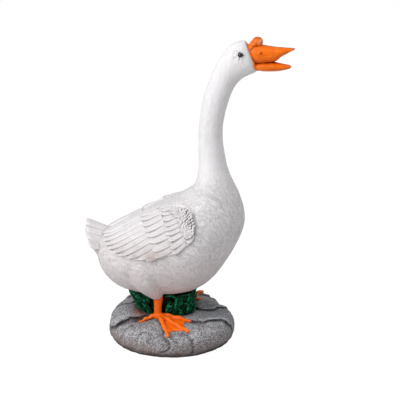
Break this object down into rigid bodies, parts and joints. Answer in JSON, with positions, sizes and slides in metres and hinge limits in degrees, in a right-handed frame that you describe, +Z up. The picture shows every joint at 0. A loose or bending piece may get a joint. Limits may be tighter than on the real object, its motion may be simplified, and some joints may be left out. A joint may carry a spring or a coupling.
{
  "type": "goose garden statue",
  "caption": "White goose calling with its neck raised, cast in one piece with a grass tuft and a grey rock base to stand outdoors.",
  "frame": {"origin": "centre of the rock base's flat underside", "axes": "+Z up from the base to the head, +X the way the goose faces, +Y to the goose's left"},
  "size_m": [0.3162, 0.1979, 0.4799],
  "materials": {
    "white_paint": "matt white paint on cast resin, brushed so that the recesses stay pinkish grey",
    "orange_paint": "glossy orange paint on the beak, knob, legs and feet, darker red-brown in the recesses",
    "green_paint": "dark green paint on the grass tuft, lighter on the blades' edges",
    "stone_grey_paint": "rough granular grey paint on the rock base, lighter on top and brownish low down",
    "black_gloss_paint": "glossy black paint on the eyes"
  },
  "bodies": {
    "root": {"goose_statue": "white_paint"}
  },
  "joints": []
}
